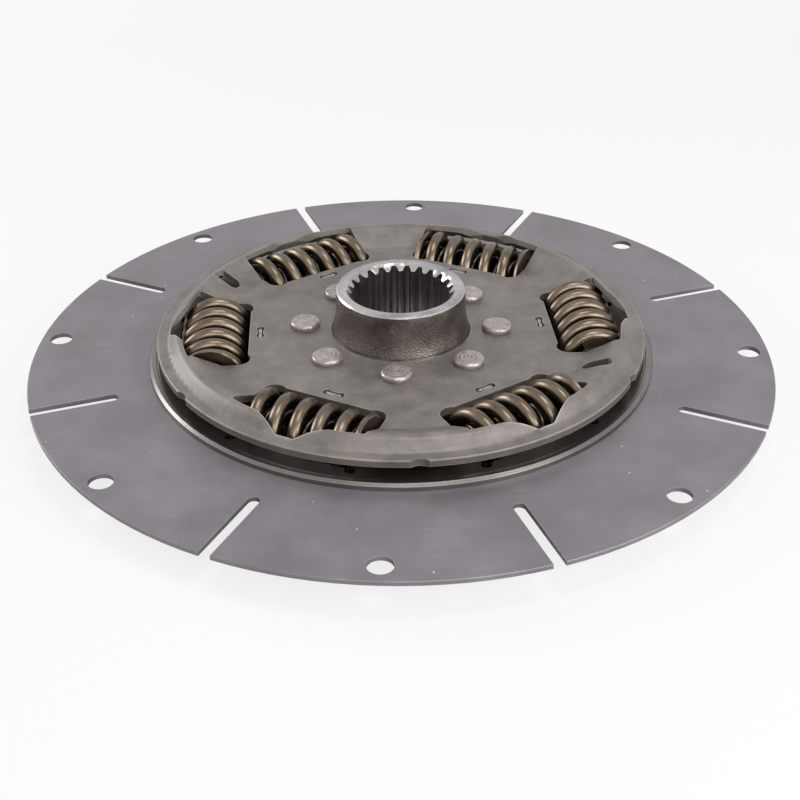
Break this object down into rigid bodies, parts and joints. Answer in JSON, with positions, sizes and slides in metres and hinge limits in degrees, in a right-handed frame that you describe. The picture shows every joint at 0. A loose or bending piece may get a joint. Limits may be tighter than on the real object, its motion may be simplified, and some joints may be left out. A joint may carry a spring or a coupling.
{
  "type": "clutch disc",
  "caption": "Torsion damper clutch disc: slotted flex plate that bolts to a flywheel, windowed cover plates with paired coil springs, and a riveted hub with an internal spline.",
  "frame": {"origin": "centre of the flex plate's bolt circle, on the face that sits against the flywheel", "axes": "+Z along the hub, away from the flywheel and towards the gearbox; +X towards the spring window nearest to it, 3.6 degrees off"},
  "size_m": [0.3524, 0.3524, 0.0479],
  "materials": {
    "flex_plate": "rolled spring steel, grey",
    "drive_disc": "turned steel",
    "cover": "pressed steel, case hardened, olive grey",
    "hub": "forged and turned steel",
    "rivet": "headed steel",
    "outer_spring": "oil tempered spring wire, bronze brown",
    "inner_spring": "oil tempered spring wire, bronze brown",
    "lug_ring": "bright steel",
    "friction": "friction material, brown black"
  },
  "bodies": {
    "damper_hub": {"hub": "hub", "front_cover": "cover", "rear_cover": "cover", "cover_rivets": "rivet", "diaphragm_spring": "lug_ring", "support_ring": "lug_ring", "pressure_ring": "lug_ring", "front_friction_ring": "friction", "rear_friction_ring": "friction", "outer_spring_1": "outer_spring", "outer_spring_2": "outer_spring", "outer_spring_3": "outer_spring", "outer_spring_4": "outer_spring", "outer_spring_5": "outer_spring", "outer_spring_6": "outer_spring", "inner_spring_1": "inner_spring", "inner_spring_2": "inner_spring", "inner_spring_3": "inner_spring", "inner_spring_4": "inner_spring", "inner_spring_5": "inner_spring", "inner_spring_6": "inner_spring"},
    "drive_plate": {"flex_plate": "flex_plate", "drive_disc": "drive_disc"}
  },
  "joints": [
    {"name": "damper_twist", "type": "hinge", "parent": "damper_hub", "child": "drive_plate", "pos_m": [0, 0, 0.0025], "axis": [0, 0, 1], "range_deg": [-6, 6], "stiffness_Nm_per_rad": 600, "deforming": ["outer_spring_1", "outer_spring_2", "outer_spring_3", "outer_spring_4", "outer_spring_5", "outer_spring_6", "inner_spring_1", "inner_spring_2", "inner_spring_3", "inner_spring_4", "inner_spring_5", "inner_spring_6"]}
  ]
}
